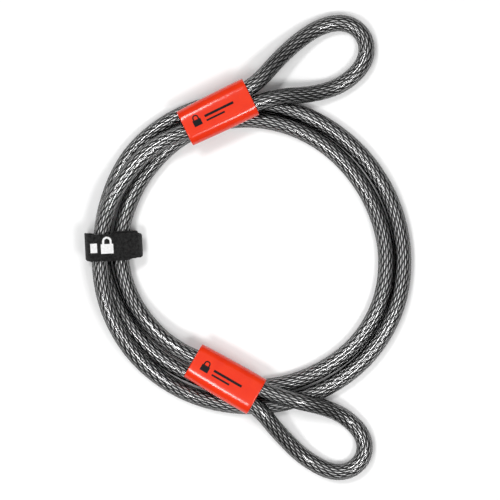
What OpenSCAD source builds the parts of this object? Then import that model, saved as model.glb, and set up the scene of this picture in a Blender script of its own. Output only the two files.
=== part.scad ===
// Coiled double-loop security cable: a vinyl-coated wire rope with a looped eye at each end, two swaged
// ferrules under red sleeves, and a hook-and-loop strap that ties the bundle.
// +Z is up and the coil lies on z = 0. The origin is the middle of the whole object's footprint.

/* [Cable] */
// Diameter over the vinyl jacket
cable_d = 10; // [9:0.1:10]
// Diameter of the bare wire rope inside the jacket
core_d = 8.4; // [7.6:0.1:8.6]

/* [Ferrules and sleeves] */
// Length of each swaged ferrule
ferrule_length = 22; // [18:1:24]
// Wall of the ferrule around each rope
ferrule_wall = 1.3; // [1.2:0.1:1.6]
// Length of each red sleeve
sleeve_length = 44; // [42:1:46]
// Wall of the sleeve
sleeve_wall = 1.2; // [0.8:0.1:1.4]
// Distance between the two ropes inside a ferrule
barrel_pitch = 10.2; // [10.1:0.1:10.4]

/* [Strap] */
// Width of the hook-and-loop tape
strap_width = 16.2; // [12:0.2:18]
// Thickness of the tape
tape = 1.7; // [1.4:0.1:1.7]
// Thickness of the hook field, and of the loop pile under the tail
pile = 0.5; // [0.3:0.1:0.6]
// Where the strap sits round the coil
strap_angle = 176; // [173:1:179]
// How far the strap lies askew across the bundle
strap_skew = 7; // [0:1:8]

/* [Hidden] */

// Every place below is measured from the coil's centre, which lies here in the part's frame.
coil_centre = [4.2, -5.8, 0];
// Sides of the swept tubes
sides = 12;
// Height of the sleeves' middle: they lie on two turns of cable
sleeve_z = 17;
// How far each ferrule's eye end stops inside its sleeve's mouth
mouth_depth = 3;
// How far the rope's cut end stands out of the ferrule
cut_end = 2;
// Where the standing cable leaves a sleeve's coil end, off the sleeve's middle
drift_end = 1.9;

// Each sleeve's middle and heading, pointing at its eye
sleeve_places = [[-22.4, 86.6, 26], [-18.1, -72.7, -30]];

// First eye, from the sleeve's outer side round to its inner side: x, y, height
eye_1 = [
  [-1.2, 102.9, 17], [4.2, 107.6, 16.2], [9.3, 113.6, 14.4], [21, 125.8, 9.4], [34.6, 136.4, 6],
  [43, 140.2, 5.2], [51, 141.8, 5], [57.6, 140.6, 5], [63, 137.2, 5], [66.7, 131.6, 5],
  [67.8, 124.8, 5], [66.2, 118.2, 5], [62.4, 112.4, 5], [57.4, 107.7, 5], [51.6, 103.8, 5],
  [45.6, 101.3, 5.6], [38.3, 99.2, 7.4], [30, 97.7, 10], [21, 97, 13], [12, 95.7, 15.6],
  [4.5, 93.6, 16.8],
];

// Second eye, from the sleeve's inner side round to its outer side: x, y, height
eye_2 = [
  [4.2, -79.6, 17], [10, -81.6, 17], [18.5, -84.3, 16.8], [27.5, -86.9, 15.9], [36.5, -89, 13.4],
  [44.5, -91.5, 9.8], [51.6, -94.8, 6.8], [57.6, -99.1, 5.3], [62.2, -103.6, 5], [65.5, -108.8, 5],
  [66.7, -114.7, 5], [65.6, -120.7, 5], [62.2, -125.7, 5], [57, -129, 5], [51, -130.2, 5],
  [43.6, -128.8, 5], [34.6, -124, 5.4], [27.3, -118.8, 6.8], [18, -109.4, 10.2], [9.3, -99.4, 14.4],
  [4.6, -93.4, 16.2], [0.4, -89.6, 17],
];

// The coil between the sleeves, every 20 degrees: radius and height of the cable's middle.
// It starts on top, crosses down over its own second turn at the left, and climbs at the end.
coil_step = 20;
coil_start = 140;
turns = [
  [90.7, 17], [92.8, 17.1], [93, 17.1], [93.2, 16.1], [93, 11.5], [92, 5.2],
  [90.6, 5], [89.8, 5], [90.1, 5], [90.7, 5], [90.6, 5], [89.6, 5],
  [88.9, 5], [89, 5], [90.1, 5], [92.2, 5], [95.4, 5], [96.9, 5],
  [97.3, 5.6], [94.7, 6.8], [92.4, 7], [88.2, 6.8], [84.2, 5.6], [81, 5],
  [79.3, 5], [78.6, 5], [79, 5], [80.3, 5], [80.4, 5], [79.4, 5],
  [78.2, 5], [78.3, 5], [79.9, 5], [82, 5], [84, 5], [84.7, 5],
  [83.5, 5.6], [82.4, 6.8], [81.2, 7], [78, 7.6], [74, 12.4],
];
// The cable between a sleeve and the first full station: angle, radius, height
coil_in = [130, 89, 17];
coil_out = [235, 71, 16.7];

// The strap's loop is drawn round four corners, in radius and height from the coil's centre.
corner_low = [95.7, 7];
corner_outer = [95, 17.6];
corner_top = [92.4, 17.8];
corner_inner = [77.5, 7];
loop_r = 5.3;
// The radius that the strap turns about when it lies askew
bundle_r = 85;
// Gap between the hook field and the loop pile, which is pressed shut in use
strap_gap = 0.3;
// Gap at the fold, where the tail's hinge lies
fold_gap = 0.3;
// Share of the slope that the tape's inner end leaves free, where the tail steps over it
inner_end = 0.25;
// How much of its step up the tail has made at the top corner
top_share = 0.4;
// Share of the slope where the hook field starts
hook_start = 0.32;
// How far the hook field and the tail reach round the inner corner, as the angle they face
hook_curl = 165;
tail_curl = 184;
arc_steps = 8;

// Derived sizes
barrel_offset = barrel_pitch / 2;
ferrule_near = sleeve_length / 2 - mouth_depth;
ferrule_far = ferrule_near - ferrule_length;
ferrule_width = barrel_pitch + core_d + 2 * ferrule_wall;
ferrule_height = core_d + 2 * ferrule_wall;
sleeve_width = ferrule_width + 2 * sleeve_wall;
sleeve_height = ferrule_height + 2 * sleeve_wall;

// ---- Places on the route ----

function polar(angle, radius, height) = [radius * cos(angle), radius * sin(angle), height];

function heading(place) = [cos(place[2]), sin(place[2]), 0];

// The side of a sleeve that faces the coil's centre
function inward(place) = -sign(place[1]) * [-sin(place[2]), cos(place[2]), 0];

function in_sleeve(place, along, across) =
  [place[0], place[1], sleeve_z] + along * heading(place) + across * inward(place);

// Where the standing cable leaves the ferrule and drifts to the middle of the sleeve's coil end
function sleeve_drift(place) = [
  in_sleeve(place, ferrule_far, barrel_offset),
  in_sleeve(place, (ferrule_far - sleeve_length / 2) / 2, (barrel_offset + drift_end) / 2),
  in_sleeve(place, -sleeve_length / 2, drift_end),
];

function backwards(list) = [for (i = [len(list) - 1:-1:0]) list[i]];

coil_stations = [
  for (i = [0:len(turns) - 1]) polar(coil_start + coil_step * i, turns[i][0], turns[i][1])
];

route_coil = concat(
  sleeve_drift(sleeve_places[0]),
  [polar(coil_in[0], coil_in[1], coil_in[2])],
  coil_stations,
  [polar(coil_out[0], coil_out[1], coil_out[2])],
  backwards(sleeve_drift(sleeve_places[1]))
);

route_eye_1 = concat(
  [in_sleeve(sleeve_places[0], ferrule_near, -barrel_offset)],
  eye_1,
  [in_sleeve(sleeve_places[0], ferrule_near, barrel_offset)]
);

route_eye_2 = concat(
  [in_sleeve(sleeve_places[1], ferrule_near, barrel_offset)],
  eye_2,
  [in_sleeve(sleeve_places[1], ferrule_near, -barrel_offset)]
);

// ---- Swept tubes ----

function along_route(points, i) =
  let (a = points[i - 1], b = points[i + 1]) (b - a) / norm(b - a);

// A direction for every point: the given ones at the first and last few, the route's own between
function directions(points, first, first_count, last, last_count) = [
  for (i = [0:len(points) - 1])
    i < first_count ? first : i >= len(points) - last_count ? last : along_route(points, i)
];

function ring(middle, direction, radius) =
  let (
    flat = cross([0, 0, 1], direction),
    side = flat / norm(flat),
    up = cross(direction, side)
  )
  [
    for (k = [0:sides - 1])
      middle + radius * (cos(360 * k / sides) * side + sin(360 * k / sides) * up)
  ];

function rings(points, ways, radius) = [
  for (i = [0:len(points) - 1]) each ring(points[i], ways[i], radius)
];

function wall_faces(count, base) = [
  for (i = [0:count - 2], k = [0:sides - 1])
    let (a = base + i * sides + k, b = base + i * sides + (k + 1) % sides)
    each [[a, a + sides, b + sides], [a, b + sides, b]]
];

function flipped(faces) = [for (f = faces) [f[2], f[1], f[0]]];

module rod(points, ways, diameter) {
  last = (len(points) - 1) * sides;
  polyhedron(
    points = rings(points, ways, diameter / 2),
    faces = concat(
      wall_faces(len(points), 0),
      [[for (k = [0:sides - 1]) k]],
      [[for (k = [sides - 1:-1:0]) last + k]]
    )
  );
}

module pipe(points, ways, outer_d, inner_d) {
  count = len(points) * sides;
  last = count - sides;
  polyhedron(
    points = concat(rings(points, ways, outer_d / 2), rings(points, ways, inner_d / 2)),
    faces = concat(
      wall_faces(len(points), 0),
      flipped(wall_faces(len(points), count)),
      [for (k = [0:sides - 1]) [k, (k + 1) % sides, count + (k + 1) % sides, count + k]],
      [
        for (k = [0:sides - 1])
          [last + (k + 1) % sides, last + k, count + last + k, count + last + (k + 1) % sides]
      ]
    )
  );
}

// ---- Wire rope and jacket ----

rope_colour = "silver";
jacket_colour = "dimgray";

module rope_eye_1() {
  way = heading(sleeve_places[0]);
  points = concat(
    [in_sleeve(sleeve_places[0], ferrule_far - cut_end, -barrel_offset)],
    route_eye_1
  );
  color(rope_colour) translate(coil_centre) rod(points, directions(points, way, 2, -way, 1), core_d);
}

module rope_coil() {
  way_1 = heading(sleeve_places[0]);
  way_2 = heading(sleeve_places[1]);
  points = concat(
    [in_sleeve(sleeve_places[0], ferrule_near, barrel_offset)],
    route_coil,
    [in_sleeve(sleeve_places[1], ferrule_near, barrel_offset)]
  );
  color(rope_colour) translate(coil_centre) rod(points, directions(points, -way_1, 2, way_2, 2), core_d);
}

module rope_eye_2() {
  way = heading(sleeve_places[1]);
  points = concat(
    route_eye_2,
    [in_sleeve(sleeve_places[1], ferrule_far - cut_end, -barrel_offset)]
  );
  color(rope_colour) translate(coil_centre) rod(points, directions(points, way, 1, -way, 2), core_d);
}

module jacket_eye_1() {
  way = heading(sleeve_places[0]);
  color(jacket_colour) translate(coil_centre)
    pipe(route_eye_1, directions(route_eye_1, way, 1, -way, 1), cable_d, core_d);
}

module jacket_coil() {
  way_1 = heading(sleeve_places[0]);
  way_2 = heading(sleeve_places[1]);
  color(jacket_colour) translate(coil_centre)
    pipe(route_coil, directions(route_coil, -way_1, 1, way_2, 1), cable_d, core_d);
}

module jacket_eye_2() {
  way = heading(sleeve_places[1]);
  color(jacket_colour) translate(coil_centre)
    pipe(route_eye_2, directions(route_eye_2, way, 1, -way, 1), cable_d, core_d);
}

// ---- Ferrules and sleeves ----

// Puts something that runs along +X, with its middle at the origin, into a sleeve's place
module in_place(place) {
  translate(coil_centre + [place[0], place[1], sleeve_z]) rotate([0, 0, place[2]]) children();
}

module oval(width, height) {
  reach = (width - height) / 2;
  square([2 * reach, height], center = true);
  translate([-reach, 0]) circle(d = height, $fn = 48);
  translate([reach, 0]) circle(d = height, $fn = 48);
}

module oval_bar(width, height, from, length) {
  translate([from, 0, 0]) rotate([90, 0, 90]) linear_extrude(length) oval(width, height);
}

module ferrule(place) {
  color("lightgray") in_place(place) difference() {
    oval_bar(ferrule_width, ferrule_height, ferrule_far, ferrule_length);
    for (side = [-1, 1]) {
      translate([ferrule_far - 1, side * barrel_offset, 0]) rotate([0, 90, 0])
        cylinder(d = core_d, h = ferrule_length + 2, $fn = 48);
    }
  }
}

module sleeve(place) {
  color("orangered") in_place(place) difference() {
    oval_bar(sleeve_width, sleeve_height, -sleeve_length / 2, sleeve_length);
    oval_bar(ferrule_width, ferrule_height, -sleeve_length / 2 - 1, sleeve_length + 2);
  }
}

// ---- Strap ----

function normal_angle(from, to) = atan2(to[1] - from[1], to[0] - from[0]) - 90;

outer_angle = normal_angle(corner_low, corner_outer);
top_angle = normal_angle(corner_outer, corner_top);
slope_angle = normal_angle(corner_top, corner_inner) + 360;

// Steps along the loop: the point each swings about, its outward angle and its share of the step up
function arc(corner, from, to, low, high) = [
  for (i = [0:arc_steps])
    [corner, from + (to - from) * i / arc_steps, low + (high - low) * i / arc_steps]
];

fold_corner = (corner_low + corner_outer) / 2;
fold_half = fold_gap / 2 * (corner_outer - corner_low) / norm(corner_outer - corner_low);

function on_slope(share) = corner_top + share * (corner_inner - corner_top);

tail_steps = concat(
  [[fold_corner + fold_half, outer_angle, 0]],
  arc(corner_outer, outer_angle, top_angle, 0, 0),
  arc(corner_top, top_angle, slope_angle, 0, top_share),
  [[on_slope(inner_end), slope_angle, 1]],
  arc(corner_inner, slope_angle, tail_curl, 1, 1)
);

band_steps = concat(
  [[on_slope(inner_end), slope_angle, 0]],
  arc(corner_inner, slope_angle, 270, 0, 0),
  arc(corner_low, 270, 360 + outer_angle, 0, 0),
  [[fold_corner - fold_half, outer_angle, 0]]
);

hook_steps = concat(
  [[on_slope(hook_start), slope_angle, 0]],
  arc(corner_inner, slope_angle, hook_curl, 0, 0)
);

function side_of(steps, height, step_up) = [
  for (s = steps) s[0] + (loop_r + height + step_up * s[2]) * [cos(s[1]), sin(s[1])]
];

// A ribbon that follows the steps, between two heights over the loop
module ribbon(steps, low, high, step_up, width) {
  translate(coil_centre) rotate([0, 0, strap_angle]) translate([bundle_r, 0, 0])
    rotate([90, 0, strap_skew]) translate([-bundle_r, 0, 0])
      linear_extrude(width, center = true)
        polygon(concat(side_of(steps, low, step_up), backwards(side_of(steps, high, step_up))));
}

strap_colour = [0.07, 0.07, 0.07];
tail_lift = tape + pile + strap_gap;

module strap_band() {
  color(strap_colour) ribbon(band_steps, 0, tape, 0, strap_width);
}

module strap_hook_field() {
  color([0.13, 0.13, 0.13]) ribbon(hook_steps, tape, tape + pile, 0, strap_width - 2);
}

module strap_tail() {
  color(strap_colour) ribbon(tail_steps, pile, tape, tail_lift, strap_width);
}

module strap_loop_pile() {
  color([0.1, 0.1, 0.1]) ribbon(tail_steps, 0, pile, tail_lift, strap_width - 1);
}

rope_eye_1();
rope_coil();
rope_eye_2();
jacket_eye_1();
jacket_coil();
jacket_eye_2();
ferrule(sleeve_places[0]);  // ferrule_1
ferrule(sleeve_places[1]);  // ferrule_2
sleeve(sleeve_places[0]);  // sleeve_1
sleeve(sleeve_places[1]);  // sleeve_2
strap_band();
strap_hook_field();
strap_tail();
strap_loop_pile();
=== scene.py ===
"""A coiled double-loop security cable in Blender.

It is a vinyl-coated wire rope with two red ferrule sleeves and a hook-and-loop strap. Everything is in
metres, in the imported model's frame: +Z is up and the coil lies on z = 0.
"""

import math

import bpy
import numpy as np
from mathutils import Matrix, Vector


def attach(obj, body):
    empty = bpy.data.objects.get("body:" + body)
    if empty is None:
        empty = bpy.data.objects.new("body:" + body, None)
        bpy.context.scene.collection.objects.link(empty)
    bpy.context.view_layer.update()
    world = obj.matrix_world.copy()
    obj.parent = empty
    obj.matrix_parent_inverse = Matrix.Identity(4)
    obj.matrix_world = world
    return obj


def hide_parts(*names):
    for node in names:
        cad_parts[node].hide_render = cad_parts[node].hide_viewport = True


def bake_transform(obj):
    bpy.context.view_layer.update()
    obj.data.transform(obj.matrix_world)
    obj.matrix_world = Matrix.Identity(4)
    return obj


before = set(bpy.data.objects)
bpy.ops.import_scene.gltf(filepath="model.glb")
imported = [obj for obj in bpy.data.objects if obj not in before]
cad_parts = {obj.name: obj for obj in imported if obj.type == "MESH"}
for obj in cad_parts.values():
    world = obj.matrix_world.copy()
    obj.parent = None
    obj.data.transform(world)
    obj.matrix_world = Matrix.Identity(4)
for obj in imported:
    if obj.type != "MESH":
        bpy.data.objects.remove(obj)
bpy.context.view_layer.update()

MM = 0.001
UP = np.array([0.0, 0.0, 1.0])

# ---- Sizes shared with the CAD model ----

CABLE_R = 5.0 * MM  # over the vinyl jacket
ROPE_R = 4.2 * MM  # over the wire rope
FERRULE_LENGTH = 22 * MM
SLEEVE_LENGTH = 44 * MM
BARREL = 5.1 * MM  # each rope's distance from its sleeve's middle
MOUTH_DEPTH = 3 * MM  # from the sleeve's eye end to its ferrule
CUT_END = 2 * MM  # how far the rope's cut end stands out of its ferrule
DRIFT_END = 1.9 * MM  # the standing cable's distance from the sleeve's middle, at the sleeve's coil end
FERRULE_NEAR = SLEEVE_LENGTH / 2 - MOUTH_DEPTH  # the ferrule's end towards the eye
FERRULE_FAR = FERRULE_NEAR - FERRULE_LENGTH  # and its end towards the coil

COIL_CENTRE = np.array([0.0042, -0.0058, 0.0])
SLEEVE_Z = 0.017
# Each sleeve's middle from the coil's centre, and its heading in degrees
SLEEVES = ((-0.0224, 0.0866, 26.0), (-0.0181, -0.0727, -30.0))

# The first eye, from the sleeve's outer side round to its inner side, measured from the coil's centre
EYE_1 = (
    (-0.0012, 0.1029, 0.017), (0.0042, 0.1076, 0.0162), (0.0093, 0.1136, 0.0144),
    (0.021, 0.1258, 0.0094), (0.0346, 0.1364, 0.006), (0.043, 0.1402, 0.0052),
    (0.051, 0.1418, 0.005), (0.0576, 0.1406, 0.005), (0.063, 0.1372, 0.005),
    (0.0667, 0.1316, 0.005), (0.0678, 0.1248, 0.005), (0.0662, 0.1182, 0.005),
    (0.0624, 0.1124, 0.005), (0.0574, 0.1077, 0.005), (0.0516, 0.1038, 0.005),
    (0.0456, 0.1013, 0.0056), (0.0383, 0.0992, 0.0074), (0.03, 0.0977, 0.01),
    (0.021, 0.097, 0.013), (0.012, 0.0957, 0.0156), (0.0045, 0.0936, 0.0168),
)
# The second eye, from the sleeve's inner side round to its outer side, measured from the coil's centre
EYE_2 = (
    (0.0042, -0.0796, 0.017), (0.01, -0.0816, 0.017), (0.0185, -0.0843, 0.0168),
    (0.0275, -0.0869, 0.0159), (0.0365, -0.089, 0.0134), (0.0445, -0.0915, 0.0098),
    (0.0516, -0.0948, 0.0068), (0.0576, -0.0991, 0.0053), (0.0622, -0.1036, 0.005),
    (0.0655, -0.1088, 0.005), (0.0667, -0.1147, 0.005), (0.0656, -0.1207, 0.005),
    (0.0622, -0.1257, 0.005), (0.057, -0.129, 0.005), (0.051, -0.1302, 0.005),
    (0.0436, -0.1288, 0.005), (0.0346, -0.124, 0.0054), (0.0273, -0.1188, 0.0068),
    (0.018, -0.1094, 0.0102), (0.0093, -0.0994, 0.0144), (0.0046, -0.0934, 0.0162),
    (0.0004, -0.0896, 0.017),
)
COIL_START, COIL_STEP = 140, 20  # degrees
# The coil's turns, one row for each step: the radius and height of the cable's middle
TURNS = (
    (0.0907, 0.017), (0.0928, 0.0171), (0.093, 0.0171), (0.0932, 0.0161), (0.093, 0.0115),
    (0.092, 0.0052), (0.0906, 0.005), (0.0898, 0.005), (0.0901, 0.005), (0.0907, 0.005),
    (0.0906, 0.005), (0.0896, 0.005), (0.0889, 0.005), (0.089, 0.005), (0.0901, 0.005),
    (0.0922, 0.005), (0.0954, 0.005), (0.0969, 0.005), (0.0973, 0.0056), (0.0947, 0.0068),
    (0.0924, 0.007), (0.0882, 0.0068), (0.0842, 0.0056), (0.081, 0.005), (0.0793, 0.005),
    (0.0786, 0.005), (0.079, 0.005), (0.0803, 0.005), (0.0804, 0.005), (0.0794, 0.005),
    (0.0782, 0.005), (0.0783, 0.005), (0.0799, 0.005), (0.082, 0.005), (0.084, 0.005),
    (0.0847, 0.005), (0.0835, 0.0056), (0.0824, 0.0068), (0.0812, 0.007), (0.078, 0.0076),
    (0.074, 0.0124),
)
# Where the coil meets each sleeve's stretch: degrees, radius and height
COIL_IN = (130, 0.089, 0.017)
COIL_OUT = (235, 0.071, 0.0167)

# The strap stands at this angle round the coil, turned this far out of square with it, in degrees
STRAP_ANGLE, STRAP_SKEW = 176, 7
STRAP_WIDTH = 16.2 * MM
TAPE = 1.7 * MM  # thickness of the band, and of the tail with its nap
PILE = 0.5 * MM  # thickness of the hooks, and of the nap
HOOK_GAP = 0.3 * MM  # between the hooks and the nap
# Its loop is drawn round four corners, in radius and height from the coil's centre
CORNER_LOW = np.array([0.0957, 0.007])
CORNER_OUTER = np.array([0.095, 0.0176])
CORNER_TOP = np.array([0.0924, 0.0178])
CORNER_INNER = np.array([0.0775, 0.007])
LOOP_R = 5.3 * MM  # the loop's inside radius at each corner
BUNDLE_R = 0.085  # radius of the coil at the strap's hub
TAIL_LIFT = TAPE + PILE + HOOK_GAP  # how much higher the tail lies where it overlaps the band
INNER_END = 0.25  # the band ends at this share of the slope between its top and inner corners
TOP_SHARE = 0.4  # share of the tail's lift that it has gained past the top corner
HOOK_START = 0.32  # the hooks start at this share of the slope
HOOK_CURL, TAIL_CURL = 165, 184  # degrees at which the hooks and the tail end round the inner corner

# ---- Camera ----

CAMERA_HEIGHT = 1.5
CAMERA_X, CAMERA_Y = 0.0012, -0.0015
VIEW_WIDTH = 0.303  # what the frame takes in at z = 0
CLIP_END = 20

camera_data = bpy.data.cameras.new("camera")
camera = bpy.data.objects.new("camera", camera_data)
bpy.context.scene.collection.objects.link(camera)
camera.location = (CAMERA_X, CAMERA_Y, CAMERA_HEIGHT)
camera_data.lens = camera_data.sensor_width * CAMERA_HEIGHT / VIEW_WIDTH
camera_data.clip_end = CLIP_END
bpy.context.scene.camera = camera

# ---- Mesh helpers ----


def mesh_object(name, points, faces, smooth=True):
    mesh = bpy.data.meshes.new(name)
    mesh.from_pydata(np.asarray(points).tolist(), [], faces)
    mesh.update()
    mesh.polygons.foreach_set("use_smooth", [smooth] * len(mesh.polygons))
    piece = bpy.data.objects.new(name, mesh)
    bpy.context.scene.collection.objects.link(piece)
    return piece


def tube_faces(rings, sides, base=0, closed=False, caps=True):
    """Quads between rings of points, which lie one after another from base."""
    faces = []
    for i in range(rings if closed else rings - 1):
        a, b = base + i * sides, base + (i + 1) % rings * sides
        faces += [(a + k, a + (k + 1) % sides, b + (k + 1) % sides, b + k) for k in range(sides)]
    if caps and not closed:
        last = base + (rings - 1) * sides
        faces.append(tuple(base + k for k in reversed(range(sides))))
        faces.append(tuple(last + k for k in range(sides)))
    return faces


def unit(vectors):
    return vectors / np.linalg.norm(vectors, axis=-1, keepdims=True)


def tangents(line):
    return unit(np.gradient(line, axis=0))


def distances(line):
    """How far along the line each of its points lies."""
    return np.concatenate([[0], np.cumsum(np.linalg.norm(np.diff(line, axis=0), axis=1))])


def full_turn(sides):
    return np.linspace(0, 2 * math.pi, sides, endpoint=False)


def fan(angle, first, second):
    """Directions at an angle from each row of first towards the same row of second."""
    return np.cos(angle)[..., None] * first + np.sin(angle)[..., None] * second


def sheath(line, first, second, radius, sides):
    """Rings of points round a line: first and second are each ring's two directions."""
    across = fan(full_turn(sides)[None, :], first[:, None, :], second[:, None, :])
    return (line[:, None, :] + radius * across).reshape(-1, 3)


# ---- The cable's route ----


def heading(place):
    a = math.radians(place[2])
    return np.array([math.cos(a), math.sin(a), 0.0])


def inward(place):
    """The side of a sleeve that faces the coil's centre."""
    along = heading(place)
    return -math.copysign(1, place[1]) * np.array([-along[1], along[0], 0.0])


def in_sleeve(place, along, across):
    middle = COIL_CENTRE + [place[0], place[1], SLEEVE_Z]
    return middle + along * heading(place) + across * inward(place)


def polar(angle, radius, height):
    a = math.radians(angle)
    return COIL_CENTRE + [radius * math.cos(a), radius * math.sin(a), height]


def sleeve_drift(place):
    """Where the standing cable leaves its ferrule and drifts to the middle of the sleeve's coil end."""
    half = SLEEVE_LENGTH / 2
    return [
        in_sleeve(place, FERRULE_FAR, BARREL),
        in_sleeve(place, (FERRULE_FAR - half) / 2, (BARREL + DRIFT_END) / 2),
        in_sleeve(place, -half, DRIFT_END),
    ]


def hand_route():
    """The whole cable through its listed points, from one cut end to the other."""
    one, two = SLEEVES
    points = [in_sleeve(one, FERRULE_FAR - CUT_END, -BARREL), in_sleeve(one, FERRULE_NEAR, -BARREL)]
    points += [COIL_CENTRE + p for p in EYE_1]
    points += [in_sleeve(one, FERRULE_NEAR, BARREL), *sleeve_drift(one), polar(*COIL_IN)]
    points += [polar(COIL_START + COIL_STEP * i, *turn) for i, turn in enumerate(TURNS)]
    points += [polar(*COIL_OUT), *reversed(sleeve_drift(two)), in_sleeve(two, FERRULE_NEAR, BARREL)]
    points += [COIL_CENTRE + p for p in EYE_2]
    points += [in_sleeve(two, FERRULE_NEAR, -BARREL), in_sleeve(two, FERRULE_FAR - CUT_END, -BARREL)]
    return np.array(points)


def evenly(line, step):
    along = distances(line)
    at = np.linspace(0, along[-1], round(along[-1] / step) + 1)
    return np.stack([np.interp(at, along, line[:, k]) for k in range(3)], axis=1)


def smooth_curve(points, pieces=24):
    """A centripetal Catmull-Rom curve through the points."""
    p = np.vstack([2 * points[0] - points[1], points, 2 * points[-1] - points[-2]])
    out = []
    for a, b, c, d in zip(p[:-3], p[1:-2], p[2:-1], p[3:]):
        k0, k1, k2 = (math.sqrt(np.linalg.norm(v)) for v in (b - a, c - b, d - c))
        m1 = (b - a) / k0 - (c - a) / (k0 + k1) + (c - b) / k1
        m2 = (c - b) / k1 - (d - b) / (k1 + k2) + (d - c) / k2
        t = np.linspace(0, 1, pieces, endpoint=False)[:, None]
        out.append(
            (2 * t**3 - 3 * t**2 + 1) * b + (t**3 - 2 * t**2 + t) * m1 * k1
            + (3 * t**2 - 2 * t**3) * c + (t**3 - t**2) * m2 * k1
        )
    return np.vstack([*out, points[-1:]])


RING_STEP = 1.25 * MM  # along the cable
SOFTEN = 4.0 * MM  # the blur's spread along the cable


def softened(line, held):
    """The line blurred along its length, which takes out the last kinks. Its held points stay."""
    reach = int(3 * SOFTEN / RING_STEP)
    weight = np.exp(-0.5 * (np.arange(-reach, reach + 1) * RING_STEP / SOFTEN) ** 2)
    weight /= weight.sum()
    padded = np.pad(line, ((reach, reach), (0, 0)), mode="edge")
    blurred = np.stack([np.convolve(padded[:, k], weight, "valid") for k in range(3)], axis=1)
    share = np.convolve(np.pad(held.astype(float), reach, mode="edge"), weight, "valid")[:, None]
    return share * line + (1 - share) * blurred


def in_ferrules(line):
    """Which of the line's points lie in a ferrule, where the cable has no jacket."""
    spans = []
    for place in SLEEVES:
        local = line - in_sleeve(place, 0, 0)
        along, across = local @ heading(place), local @ inward(place)
        within = (along > FERRULE_FAR) & (along < FERRULE_NEAR) & (abs(across) < 2 * BARREL)
        spans.append(within & (line[:, 2] > SLEEVE_Z - CABLE_R / 2))
    return np.any(spans, axis=0)


def twist_free(forward):
    """A direction across the cable for each ring, carried along it without twist."""
    side = np.zeros_like(forward)
    side[0] = unit(np.cross(UP, forward[0]))
    for i in range(1, len(forward)):
        side[i] = unit(side[i - 1] - forward[i] * (side[i - 1] @ forward[i]))
    return side


route = evenly(smooth_curve(hand_route()), RING_STEP)
route = softened(route, in_ferrules(route))
route[:, 2] = np.maximum(route[:, 2], CABLE_R)
bare = in_ferrules(route)
distance = distances(route)
forward = tangents(route)
side = twist_free(forward)
over = np.cross(forward, side)

# ---- Wire rope: strands of wires laid round a dark core ----

STRANDS, WIRES = 8, 4  # strands in the rope, and wires in each
STRAND_LAY = 45.5 * MM  # a strand goes round the rope once in this length
WIRE_R = 0.49 * MM
WIRE_SIDES = 8
WEAVE = 0.4 * MM  # how far a wire moves in and out from its strand's middle
SWING = 0.26  # how far round the rope it moves to each side of that middle, in radians
WIRE_LAY = SWING * STRAND_LAY  # so a wire runs straight along the cable where it lies outermost
STRAND_CENTRE_R = ROPE_R - WIRE_R - WEAVE
# The core's near-black colour is painted shade, seen through the gaps between the wires
CORE_R, CORE_SIDES = 3.55 * MM, 24
PAINTED_SHADE_R = 3.6 * MM  # painted shade turns the wires near black from here inward

lay_angle = 2 * math.pi * distance / STRAND_LAY


def strand(name, start):
    """The wires of a strand. Their attribute lift runs from 0 deep in the rope to 1 at the rope's surface;
    it drives the painted shade in the hollows between the wires.
    """
    points, faces = [], []
    for j in range(WIRES):
        weave = 2 * math.pi * (distance / WIRE_LAY + j / WIRES)
        out = fan(lay_angle + start - SWING * np.sin(weave), side, over)
        wire = route + (STRAND_CENTRE_R + WEAVE * np.cos(weave))[:, None] * out
        along = tangents(wire)
        first = unit(out - along * np.sum(out * along, axis=1, keepdims=True))
        points.append(sheath(wire, first, np.cross(along, first), WIRE_R, WIRE_SIDES))
        faces += tube_faces(len(wire), WIRE_SIDES, base=j * len(wire) * WIRE_SIDES)
    points = np.vstack(points)
    piece = mesh_object(name, points, faces)
    centre = np.tile(np.repeat(route, WIRE_SIDES, axis=0), (WIRES, 1))
    lift = (np.linalg.norm(points - centre, axis=1) - PAINTED_SHADE_R) / (ROPE_R - PAINTED_SHADE_R)
    piece.data.attributes.new("lift", "FLOAT", "POINT").data.foreach_set("value", np.clip(lift, 0, 1))
    return piece


strands = [strand(f"wire_strand_{k + 1}", 2 * math.pi * k / STRANDS) for k in range(STRANDS)]
core_points = sheath(route, side, over, CORE_R, CORE_SIDES)
core = mesh_object("rope_core", core_points, tube_faces(len(route), CORE_SIDES))

# ---- Vinyl jacket: a thin skin that dips a little between the strands ----

JACKET_SIDES = 48
JACKET_DIP = 0.02 * MM
FEWEST_RINGS = 10  # a shorter stretch, as past a ferrule at a cut end, has no jacket


def jacket():
    """An open skin over each stretch of the cable that isn't in a ferrule."""
    around = full_turn(JACKET_SIDES)
    radius = CABLE_R - JACKET_DIP * (0.5 - 0.5 * np.cos(STRANDS * around))
    edges = np.flatnonzero(np.diff(np.concatenate([[True], bare, [True]]).astype(int)))
    points, faces, base = [], [], 0
    for start, end in zip(edges[0::2], edges[1::2]):
        if end - start < FEWEST_RINGS:
            continue
        rows = slice(start, end)
        # The rings turn with the lay, so the dips follow the strands
        turn = lay_angle[rows][:, None] + around[None, :]
        out = fan(turn, side[rows][:, None, :], over[rows][:, None, :])
        points.append((route[rows][:, None, :] + radius[None, :, None] * out).reshape(-1, 3))
        faces += tube_faces(end - start, JACKET_SIDES, base=base, caps=False)
        base += (end - start) * JACKET_SIDES
    return mesh_object("cable_jacket", np.vstack(points), faces)


cable_jacket = jacket()
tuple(route[0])
for piece in (cable_jacket, core, *strands):
    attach(piece, "cable")
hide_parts("jacket_eye_1", "jacket_coil", "jacket_eye_2")
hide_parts("rope_eye_1", "rope_coil", "rope_eye_2")

# ---- Red sleeves ----

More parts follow.
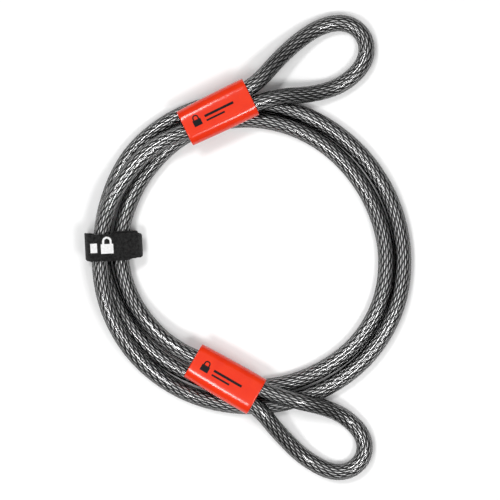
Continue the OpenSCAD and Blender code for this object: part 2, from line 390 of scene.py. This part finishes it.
SLEEVE_SIDES = 96
SLEEVE_RINGS, RIM_RINGS = 24, 9
SLEEVE_WALL = 1.0 * MM
HALF_WIDTH, HALF_HEIGHT = 11.3 * MM, 6.5 * MM  # at the coil end
WIDER, HIGHER = 0.75 * MM, 0.15 * MM  # how much each of these grows towards the eye
SWELL = 0.25 * MM  # how much its middle stands out
SQUARENESS = 3.5  # how close the oval comes to two half circles joined by straight faces


def oval(half_width, half_height):
    """Points round a flattened oval: a nearly straight top and bottom between two round ends."""
    angle = full_turn(SLEEVE_SIDES)
    reach = half_width - half_height
    x = half_height * np.cos(angle) + reach * np.tanh(SQUARENESS * np.cos(angle)) / math.tanh(SQUARENESS)
    return np.stack([x, half_height * np.sin(angle)], axis=1)


def sleeve_section(along, inset=0.0):
    """A sleeve's outline, which swells in the middle and narrows a little towards the coil."""
    share = np.clip(along / SLEEVE_LENGTH + 0.5, 0, 1)
    swell = SWELL * math.sin(math.pi * share)
    half_width = HALF_WIDTH + WIDER * share + swell - inset
    half_height = HALF_HEIGHT + HIGHER * share + swell / 2 - inset
    return oval(half_width, half_height)


def sleeve(name, place):
    """An oval tube with rounded rims, a little narrower at its coil end."""
    half = SLEEVE_LENGTH / 2
    rim = SLEEVE_WALL / 2
    rings = []

    def ring(along, inset):
        local = sleeve_section(along, inset)
        middle = in_sleeve(place, along, 0)
        rings.append(middle + local[:, :1] * inward(place) + local[:, 1:] * UP)

    for along in np.linspace(-half + rim, half - rim, SLEEVE_RINGS):
        ring(along, 0)
    for angle in np.linspace(0, math.pi, RIM_RINGS)[1:-1]:
        ring(half - rim + rim * math.sin(angle), rim * (1 - math.cos(angle)))
    for along in np.linspace(half - rim, -half + rim, SLEEVE_RINGS):
        ring(along, SLEEVE_WALL)
    for angle in np.linspace(math.pi, 0, RIM_RINGS)[1:-1]:
        ring(-half + rim - rim * math.sin(angle), rim * (1 - math.cos(angle)))
    return mesh_object(name, np.vstack(rings), tube_faces(len(rings), SLEEVE_SIDES, closed=True))


sleeves = []
for number, place in enumerate(SLEEVES, 1):
    shell = sleeve(f"ferrule_sleeve_{number}", place)
    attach(shell, "cable")
    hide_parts(f"sleeve_{number}")
    sleeves.append(shell)

# ---- Printed marks: a plain padlock sign and plain bars, drawn in mm ----

PRINT_STEP = 0.4  # mm
PRINT_LIFT, PRINT_SINK = 0.05 * MM, 0.05 * MM
ARCH_POINTS, ARCH_ROWS = 17, 4
# A padlock sign's parts, as shares of its width
BODY_HEIGHT = 0.75
LEG_LEFT, LEG_RIGHT, LEG_WIDTH, LEG_HEIGHT = 0.12, 0.72, 0.16, 0.2
ARCH_MIDDLE, ARCH_FOOT, ARCH_INNER, ARCH_OUTER = 0.5, 0.95, 0.22, 0.38


def bar(u, v, width, height):
    """A grid of points over a rectangle, from its lower left corner."""
    across = np.linspace(u, u + width, round(width / PRINT_STEP) + 2)
    up = np.linspace(v, v + height, round(height / PRINT_STEP) + 2)
    return np.stack(np.meshgrid(across, up, indexing="ij"), axis=-1) * MM


def arch(u, v, inner, outer):
    """A grid of points over half a ring that stands on (u, v)."""
    turns, radii = np.linspace(math.pi, 0, ARCH_POINTS), np.linspace(inner, outer, ARCH_ROWS)
    turn, radius = np.meshgrid(turns, radii, indexing="ij")
    return np.stack([u + radius * np.cos(turn), v + radius * np.sin(turn)], axis=-1) * MM


def padlock_sign(u, v, size):
    """A padlock's body and shackle, from the body's lower left corner."""
    legs = [
        bar(u + leg * size, v + BODY_HEIGHT * size, LEG_WIDTH * size, LEG_HEIGHT * size)
        for leg in (LEG_LEFT, LEG_RIGHT)
    ]
    bend = arch(u + ARCH_MIDDLE * size, v + ARCH_FOOT * size, ARCH_INNER * size, ARCH_OUTER * size)
    return [bar(u, v, size, BODY_HEIGHT * size), *legs, bend]


def printed(name, shapes, onto):
    """Thin slabs of ink: onto(u, v, lift) gives a point on the surface that carries them."""
    points, faces = [], []
    for grid in shapes:
        n, m = grid.shape[:2]
        base, size = len(points), n * m
        for lift in (PRINT_LIFT, -PRINT_SINK):
            points += [onto(u, v, lift) for u, v in grid.reshape(-1, 2)]
        index = base + np.arange(size).reshape(n, m)
        corners = (index[:-1, :-1], index[1:, :-1], index[1:, 1:], index[:-1, 1:])
        for a, b, c, d in zip(*(corner.flat for corner in corners)):
            faces += [(a, b, c, d), (d + size, c + size, b + size, a + size)]
        edge = [*index[:-1, 0], *index[-1, :-1], *index[:0:-1, -1], *index[0, :0:-1]]
        faces += [(b, a, a + size, b + size) for a, b in zip(edge, edge[1:] + edge[:1])]
    return mesh_object(name, points, [tuple(int(k) for k in f) for f in faces], smooth=False)


def onto_sleeve(place):
    """Reading direction along the sleeve, on its upper face."""
    along = heading(place)
    up = np.array([-along[1], along[0], 0.0])

    def onto(u, v, lift):
        outline = sleeve_section(u)
        top = outline[: SLEEVE_SIDES // 2 + 1][::-1]
        height = np.interp(v * (up @ inward(place)), top[:, 0], top[:, 1])
        return in_sleeve(place, u, 0) + v * up + (height + lift) * UP

    return onto


SLEEVE_MARK = [
    *padlock_sign(u=-16, v=-2.4, size=5.2),
    bar(u=-8, v=0.4, width=19, height=1.5),
    bar(u=-8, v=-2.2, width=12, height=1.1),
]
sleeve_prints = []
for number, place in enumerate(SLEEVES, 1):
    mark = printed(f"sleeve_print_{number}", SLEEVE_MARK, onto_sleeve(place))
    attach(mark, "cable")
    sleeve_prints.append(mark)

# ---- Strap ----


def normal_angle(a, b):
    """The direction square to the way from a to b, in degrees."""
    return math.degrees(math.atan2(b[1] - a[1], b[0] - a[0])) - 90


OUTER_ANGLE = normal_angle(CORNER_LOW, CORNER_OUTER)
TOP_ANGLE = normal_angle(CORNER_OUTER, CORNER_TOP)
SLOPE_ANGLE = normal_angle(CORNER_TOP, CORNER_INNER) + 360
UPRIGHT = unit(CORNER_OUTER - CORNER_LOW)
ROOT_RISE = 1.5 * MM  # how far up from the low corner the band gives way to the tail
ROOT_GAP = 0.1 * MM  # half the gap there between the band and the tail
TAIL_ROOT = CORNER_LOW + ROOT_RISE * UPRIGHT


def on_slope(share):
    return CORNER_TOP + share * (CORNER_INNER - CORNER_TOP)


def arc(corner, a, b, low, high, count=14):
    """Steps round a corner: the point each swings about, its outward angle and its share of the step up."""
    return [(corner, a + (b - a) * i / count, low + (high - low) * i / count) for i in range(count + 1)]


# Each tape's steps, from one end to the other
DOWN = 270
BAND = [
    (on_slope(INNER_END), SLOPE_ANGLE, 0),
    *arc(CORNER_INNER, SLOPE_ANGLE, DOWN, 0, 0),
    *arc(CORNER_LOW, DOWN, 360 + OUTER_ANGLE, 0, 0),
    (TAIL_ROOT - ROOT_GAP * UPRIGHT, OUTER_ANGLE, 0),
]
HOOKS = [
    (on_slope(HOOK_START), SLOPE_ANGLE, 0),
    *arc(CORNER_INNER, SLOPE_ANGLE, HOOK_CURL, 0, 0),
]
TAIL = [
    (TAIL_ROOT + ROOT_GAP * UPRIGHT, OUTER_ANGLE, 0),
    *arc(CORNER_OUTER, OUTER_ANGLE, TOP_ANGLE, 0, 0),
    *arc(CORNER_TOP, TOP_ANGLE, SLOPE_ANGLE, 0, TOP_SHARE),
    (on_slope(INNER_END), SLOPE_ANGLE, 1),
    *arc(CORNER_INNER, SLOPE_ANGLE, TAIL_CURL, 1, 1),
]
TAPE_STEP = 0.5 * MM  # between a tape's rings


def strap_line(steps, height):
    """A line at a height over the loop, with a point at about every TAPE_STEP.

    It gives the points and their outward directions, in radius and height, and how far along they lie.
    """
    points, outs = [], []
    for corner, angle, share in steps:
        a = math.radians(angle)
        out = np.array([math.cos(a), math.sin(a)])
        points.append(corner + (LOOP_R + height + TAIL_LIFT * share) * out)
        outs.append(out)
    points, outs = np.array(points), np.array(outs)
    along = distances(points)
    at = np.linspace(0, along[-1], max(2, round(along[-1] / TAPE_STEP) + 1))
    pick = [np.stack([np.interp(at, along, v[:, k]) for k in range(2)], axis=1) for v in (points, outs)]
    return pick[0], unit(pick[1]), at


def strap_frame():
    """The strap's hub on the bundle, its way out from the coil, and its way across its own width."""
    a, b = math.radians(STRAP_ANGLE), math.radians(STRAP_ANGLE + STRAP_SKEW)
    hub = COIL_CENTRE + BUNDLE_R * np.array([math.cos(a), math.sin(a), 0])
    outward = np.array([math.cos(b), math.sin(b), 0])
    return hub, outward, np.array([-outward[1], outward[0], 0])


STRAP_HUB, STRAP_OUT, STRAP_ACROSS = strap_frame()


def strap_point(radius, height, across):
    return STRAP_HUB + (radius - BUNDLE_R) * STRAP_OUT + height * UP + across * STRAP_ACROSS


EDGE_R = 0.6 * MM  # how far in from each side the tape's edge is rounded
FLAT_POINTS, EDGE_POINTS = 33, 9  # on each face, and round each edge with its end points on the faces
FRAY = 0.12 * MM  # how far the tape's edges stray, as a standard deviation before smoothing
FRAY_BLUR = (0.25, 0.5, 0.25)
FRAY_POWER = 8  # how close to the edge the fraying stays


def tape_section(half_w, half_t):
    """A tape's cross-section, from its upper left corner round to its left edge."""
    edge = min(half_t, EDGE_R)
    section = [(x, half_t) for x in np.linspace(-half_w + edge, half_w - edge, FLAT_POINTS)]
    for angle in np.linspace(90, -90, EDGE_POINTS)[1:-1]:
        a = math.radians(angle)
        section.append((half_w - edge + edge * math.cos(a), half_t * math.sin(a)))
    section += [(x, -half_t) for x in np.linspace(half_w - edge, -half_w + edge, FLAT_POINTS)]
    for angle in np.linspace(-90, -270, EDGE_POINTS)[1:-1]:
        a = math.radians(angle)
        section.append((-half_w + edge + edge * math.cos(a), half_t * math.sin(a)))
    return np.array(section)


def along_tape(at, table):
    """A table of values at distances along a tape, read off at each of its rings."""
    return np.interp(at / MM, [place for place, value in table], [value for place, value in table])


def tape(name, steps, low, high, width, slip, narrow=((0, 1),), round_start=0.0, round_end=0.0, seed=1):
    """A tape with soft frayed edges that follows the steps between two heights over the loop.

    slip gives its sideways shift in mm and narrow its share of the full width, at distances along it in mm.
    round_start and round_end are the radii of the corners at its two ends.
    """
    line, outs, at = strap_line(steps, (low + high) / 2)
    half_w = width / 2
    noise = np.random.default_rng(seed)
    frayed = [noise.normal(0, 1, len(at) + 2) for _ in range(2)]
    frayed = [np.convolve(row, FRAY_BLUR, "valid") * FRAY for row in frayed]
    shift, share = along_tape(at, slip) * MM, along_tape(at, narrow)
    section = tape_section(half_w, (high - low) / 2)
    points = []
    for i, (p, out) in enumerate(zip(line, outs)):
        keep = share[i]
        for corner, gone in ((round_start, at[i]), (round_end, at[-1] - at[i])):
            if corner and gone < corner:
                keep -= (corner - math.sqrt(corner**2 - (corner - gone) ** 2)) / half_w
        for x, lift in section:
            q = p + lift * out
            loose = frayed[int(x > 0)][i] * (x / half_w) ** FRAY_POWER
            points.append(strap_point(q[0], q[1], x * keep + shift[i] + math.copysign(1, x) * loose))
    return mesh_object(name, points, tube_faces(len(line), len(section)))


# Pairs of a distance along the tape and a shift, in mm: the band sits off the tail's line at its inner end
# and on the outer side of the bundle
BAND_SLIP = ((0, -1.4), (22, -1.4), (34, 0), (45, 0), (52, -1.3), (60, -1.3))
HOOK_SLIP = ((0, -1.4),)
TAIL_SLIP = ((0, -1.3), (9, -1.3), (15, 0), (40, 0), (42, -0.5))
# The tail narrows towards its free end: pairs of a distance in mm and a share of the full width
TAIL_NARROW = ((40, 1), (42, 0.94), (47, 0.93), (52, 0.86))
HOOK_WIDTH, PILE_WIDTH = STRAP_WIDTH - 2 * MM, STRAP_WIDTH - 1 * MM
BAND_CORNER, TAIL_CORNER = 2.0 * MM, 3.0 * MM
TAIL_SHAPE = dict(slip=TAIL_SLIP, narrow=TAIL_NARROW, round_end=TAIL_CORNER)

band = tape("strap_band_tape", BAND, 0, TAPE, STRAP_WIDTH, BAND_SLIP, round_start=BAND_CORNER)
hooks = tape("strap_hooks", HOOKS, TAPE, TAPE + PILE, HOOK_WIDTH, HOOK_SLIP, seed=2)
tail = tape("strap_tail_tape", TAIL, PILE, TAPE, STRAP_WIDTH, **TAIL_SHAPE, seed=3)
pile = tape("strap_loop_nap", TAIL, 0, PILE, PILE_WIDTH, **TAIL_SHAPE, seed=4)

MARK_START = 16 * MM  # from the tail's root
TAIL_LINE, TAIL_OUTS, TAIL_AT = strap_line(TAIL, TAPE)


def onto_tail(u, v, lift):
    """Reading direction towards the coil's centre, on the outer face of the tail."""
    radius, height, out_radius, out_height = (
        np.interp(MARK_START + u, TAIL_AT, column) for column in (*TAIL_LINE.T, *TAIL_OUTS.T)
    )
    return strap_point(radius + lift * out_radius, height + lift * out_height, -v)


STRAP_MARK = [bar(u=0, v=-2.9, width=4.2, height=5.6), *padlock_sign(u=6.5, v=-3.6, size=7.6)]
strap_print = printed("strap_print", STRAP_MARK, onto_tail)
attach(strap_print, "strap_flap")

for piece in (band, hooks):
    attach(piece, "strap")
for piece in (tail, pile):
    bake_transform(piece)
for piece, node, slot in (
    (band, "strap_band", "strap_tape"),
    (hooks, "strap_hook_field", "strap_hooks"),
    (tail, "strap_tail", "strap_tape"),
    (pile, "strap_loop_pile", "strap_pile"),
):
    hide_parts(node)

# ---- Material helpers ----

# A Mix node has A, B and Result sockets for each kind of data: these are its colour ones
MIX_A, MIX_B, MIX_RESULT = 6, 7, 2


def material(name):
    """A new material, its node tree and its Principled node."""
    made = bpy.data.materials.new(name)
    made.use_nodes = True
    return made, made.node_tree, made.node_tree.nodes["Principled BSDF"]


def node(tree, kind, **inputs):
    """A new node: an input's name has _ for a space."""
    made = tree.nodes.new(kind)
    for name, value in inputs.items():
        made.inputs[name.replace("_", " ")].default_value = value
    return made


def place_noise(tree, scale, detail=3.0, roughness=0.5):
    where = tree.nodes.new("ShaderNodeTexCoord")
    noise = node(tree, "ShaderNodeTexNoise", Scale=scale, Detail=detail, Roughness=roughness)
    tree.links.new(where.outputs["Object"], noise.inputs["Vector"])
    return noise.outputs["Fac"]


def ramp(tree, source, stops):
    made = tree.nodes.new("ShaderNodeValToRGB")
    points = made.color_ramp.elements
    points[0].position, points[0].color = stops[0]
    points[1].position, points[1].color = stops[-1]
    for position, colour in stops[1:-1]:
        points.new(position).color = colour
    tree.links.new(source, made.inputs["Fac"])
    return made.outputs["Color"]


def mottle(tree, scale, low, high, start=0.3, end=0.7):
    """A colour that wanders from low to high as a noise goes from start to end."""
    return ramp(tree, place_noise(tree, scale), ((start, low), (end, high)))


def grey(value):
    return (value, value, value, 1)


def bump(tree, source, strength, depth):
    made = node(tree, "ShaderNodeBump", Strength=strength, Distance=depth)
    tree.links.new(source, made.inputs["Height"])
    return made.outputs["Normal"]


# ---- Materials ----


def steel():
    """Bright wire with painted shade that darkens it in the hollows between the wires."""
    made, tree, shader = material("galvanised_wire")
    tone = mottle(tree, 900, grey(0.7), grey(0.95))
    lift = tree.nodes.new("ShaderNodeAttribute")
    lift.attribute_name = "lift"
    # Painted shade: the wire's colour falls to near black the deeper it lies between the other wires
    painted_shade = ramp(tree, lift.outputs["Fac"], ((0.0, grey(0.006)), (0.45, grey(0.2)), (0.85, grey(1.0))))
    mix = tree.nodes.new("ShaderNodeMix")
    mix.data_type = "RGBA"
    mix.blend_type = "MULTIPLY"
    mix.inputs["Factor"].default_value = 1.0
    tree.links.new(tone, mix.inputs[MIX_A])
    tree.links.new(painted_shade, mix.inputs[MIX_B])
    tree.links.new(mix.outputs[MIX_RESULT], shader.inputs["Base Color"])
    shader.inputs["Metallic"].default_value = 1.0
    tree.links.new(mottle(tree, 350, grey(0.34), grey(0.46)), shader.inputs["Roughness"])
    return made


def dark_core():
    # Painted shade: the core is near black so the gaps between the wires show dark
    made, tree, shader = material("rope_core_painted_shade")
    tree.links.new(mottle(tree, 700, grey(0.004), grey(0.012)), shader.inputs["Base Color"])
    shader.inputs["Metallic"].default_value = 0.0
    shader.inputs["Specular IOR Level"].default_value = 0.15
    shader.inputs["Roughness"].default_value = 0.7
    return made


def clear_vinyl():
    """Smoky see-through vinyl: what is behind it shows darker, and its surface mirrors at a slant."""
    made, tree, shader = material("smoky_vinyl")
    tree.nodes.remove(shader)
    through = tree.nodes.new("ShaderNodeBsdfTransparent")
    tree.links.new(mottle(tree, 60, grey(0.8), grey(0.86)), through.inputs["Color"])
    gloss = node(tree, "ShaderNodeBsdfAnisotropic", Roughness=0.08, Color=grey(0.95))
    slant = node(tree, "ShaderNodeFresnel", IOR=1.55)
    ripple = bump(tree, place_noise(tree, 150), strength=0.1, depth=0.1 * MM)
    tree.links.new(ripple, gloss.inputs["Normal"])
    mix = tree.nodes.new("ShaderNodeMixShader")
    share, at_none, at_all = mix.inputs
    tree.links.new(slant.outputs["Fac"], share)
    tree.links.new(through.outputs["BSDF"], at_none)
    tree.links.new(gloss.outputs["BSDF"], at_all)
    tree.links.new(mix.outputs["Shader"], tree.nodes["Material Output"].inputs["Surface"])
    return made


def red_plastic():
    made, tree, shader = material("red_sleeve_plastic")
    tone = mottle(tree, 120, (0.74, 0.024, 0.002, 1), (0.80, 0.034, 0.003, 1))
    tree.links.new(tone, shader.inputs["Base Color"])
    shader.inputs["Roughness"].default_value = 0.14
    shader.inputs["Specular IOR Level"].default_value = 0.45
    ripple = bump(tree, place_noise(tree, 260), strength=0.12, depth=0.3 * MM)
    tree.links.new(ripple, shader.inputs["Normal"])
    return made


def swaged_aluminium():
    made, tree, shader = material("swaged_aluminium")
    tree.links.new(mottle(tree, 400, grey(0.5), grey(0.68)), shader.inputs["Base Color"])
    shader.inputs["Metallic"].default_value = 1.0
    shader.inputs["Roughness"].default_value = 0.35
    dents = bump(tree, place_noise(tree, 600), strength=0.3, depth=0.2 * MM)
    tree.links.new(dents, shader.inputs["Normal"])
    return made


def black_fabric(name, low, high, scale, depth):
    """Fuzz that wanders from low to high in tone, with bumps of the given depth."""
    made, tree, shader = material(name)
    fuzz = place_noise(tree, scale, detail=6.0, roughness=0.7)
    tree.links.new(ramp(tree, fuzz, ((0.35, grey(low)), (0.7, grey(high)))), shader.inputs["Base Color"])
    shader.inputs["Roughness"].default_value = 0.9
    shader.inputs["Specular IOR Level"].default_value = 0.2
    shader.inputs["Sheen Weight"].default_value = 0.08
    shader.inputs["Sheen Roughness"].default_value = 0.5
    tree.links.new(bump(tree, fuzz, strength=0.8, depth=depth), shader.inputs["Normal"])
    return made


def ink(name, colour, worn=0.8):
    """Ink whose tone wanders down to the worn share of its colour."""
    made, tree, shader = material(name)
    dark = tuple(c * worn for c in colour)
    tree.links.new(mottle(tree, 800, (*dark, 1), (*colour, 1)), shader.inputs["Base Color"])
    shader.inputs["Roughness"].default_value = 0.4
    shader.inputs["Specular IOR Level"].default_value = 0.1
    return made


def floor_finish():
    made, tree, shader = material("pale_floor")
    tone = mottle(tree, 2, grey(0.9), grey(0.92), start=0.2, end=0.8)
    tree.links.new(tone, shader.inputs["Base Color"])
    shader.inputs["Roughness"].default_value = 0.8
    return made


def dress(finish, *pieces):
    for piece in pieces:
        piece.data.materials.clear()
        piece.data.materials.append(finish)


dress(steel(), *strands)
dress(dark_core(), core)
dress(clear_vinyl(), cable_jacket)
dress(red_plastic(), *sleeves)
aluminium = swaged_aluminium()
for name in ("ferrule_1", "ferrule_2"):
    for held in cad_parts[name].material_slots:
        held.material = aluminium
dress(ink("black_ink", (0.006, 0.006, 0.007)), *sleeve_prints)
dress(ink("white_ink", (0.85, 0.85, 0.85)), strap_print)
dress(black_fabric("strap_webbing", low=0.0, high=0.027, scale=620, depth=0.8 * MM), band, tail)
dress(black_fabric("strap_hook_tape", low=0.001, high=0.012, scale=1100, depth=0.4 * MM), hooks)
dress(black_fabric("strap_loop_pile_nap", low=0.002, high=0.02, scale=2200, depth=0.4 * MM), pile)

# ---- Floor and light ----

FLOOR_REACH, FLOOR_Z = 4, -0.2 * MM
FLOOR_CORNERS = ((-1, -1), (1, -1), (1, 1), (-1, 1))

floor_points = [(x * FLOOR_REACH, y * FLOOR_REACH, FLOOR_Z) for x, y in FLOOR_CORNERS]
floor = mesh_object("floor", floor_points, [(0, 1, 2, 3)])
dress(floor_finish(), floor)


def softbox(name, place, size, power):
    """A rectangular area light that faces the coil."""
    data = bpy.data.lights.new(name, "AREA")
    data.shape = "RECTANGLE"
    data.size, data.size_y = size
    data.energy = power
    lamp = bpy.data.objects.new(name, data)
    bpy.context.scene.collection.objects.link(lamp)
    lamp.location = place
    lamp.rotation_mode = "QUATERNION"
    lamp.rotation_quaternion = Vector(unit(np.array(place))).to_track_quat("Z", "Y")


# Each light's place in metres and its power in watts
KEY_SIZE, OVERHEAD_SIZE = (0.5, 0.26), (2.2, 2.2)
softbox("key_upper_left", (-0.5, 0.5, 1.5), KEY_SIZE, 8.6)
softbox("key_lower_left", (-0.45, -0.5, 1.5), KEY_SIZE, 8.2)
softbox("key_lower_right", (0.5, -0.45, 1.5), KEY_SIZE, 8.2)
softbox("overhead", (0.0, 0.0, 1.6), OVERHEAD_SIZE, 6.8)

ROOM_LIGHT = 0.2
BACKDROP_GLOW = 0.65  # added where the camera sees the backdrop


def studio_world():
    """A dim room lights the cable, and the backdrop itself shows pale."""
    world = bpy.data.worlds.new("studio")
    world.use_nodes = True
    tree = world.node_tree
    backdrop = tree.nodes["Background"]
    backdrop.inputs["Color"].default_value = grey(1.0)
    seen = tree.nodes.new("ShaderNodeLightPath")
    strength = tree.nodes.new("ShaderNodeMath")
    strength.operation = "MULTIPLY_ADD"
    value, factor, addend = strength.inputs
    factor.default_value = BACKDROP_GLOW
    addend.default_value = ROOM_LIGHT
    tree.links.new(seen.outputs["Is Camera Ray"], value)
    tree.links.new(strength.outputs["Value"], backdrop.inputs["Strength"])
    return world


bpy.context.scene.world = studio_world()
bpy.context.scene.view_settings.view_transform = "Standard"
